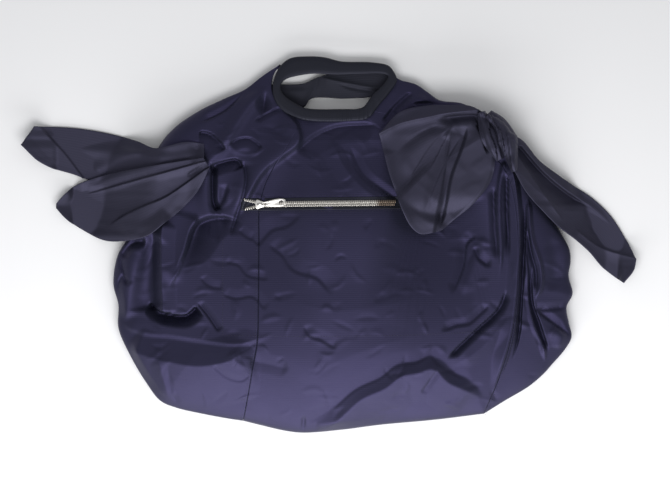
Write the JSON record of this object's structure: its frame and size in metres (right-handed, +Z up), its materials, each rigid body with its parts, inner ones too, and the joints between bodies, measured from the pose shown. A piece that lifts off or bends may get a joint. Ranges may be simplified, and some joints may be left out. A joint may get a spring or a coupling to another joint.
{
  "type": "balloon bag",
  "caption": "Soft balloon-shaped handbag of thin navy cloth, laid on its back, with a bound hand hole, knotted side ties and a short metal zip.",
  "frame": {"origin": "on the table, under the middle of the whole bag with its tails", "axes": "+X to the right tail as the bag is seen from above, +Y towards the handle, +Z up off the table"},
  "size_m": [0.616, 0.376, 0.0525],
  "materials": {
    "cloth": "satin",
    "band_cloth": "satin",
    "zip_metal": "satin"
  },
  "bodies": {
    "root": {"front_panel": "cloth", "left_panel": "cloth", "right_panel": "cloth", "back_panel": "cloth", "neck_ring": "band_cloth", "back_handle": "band_cloth", "left_tail_upper": "cloth", "left_tail_lower": "cloth", "right_tail_front": "cloth", "right_tail_far": "cloth", "zip_chain": "zip_metal", "zip_slider": "zip_metal", "zip_puller": "zip_metal"}
  },
  "joints": []
}
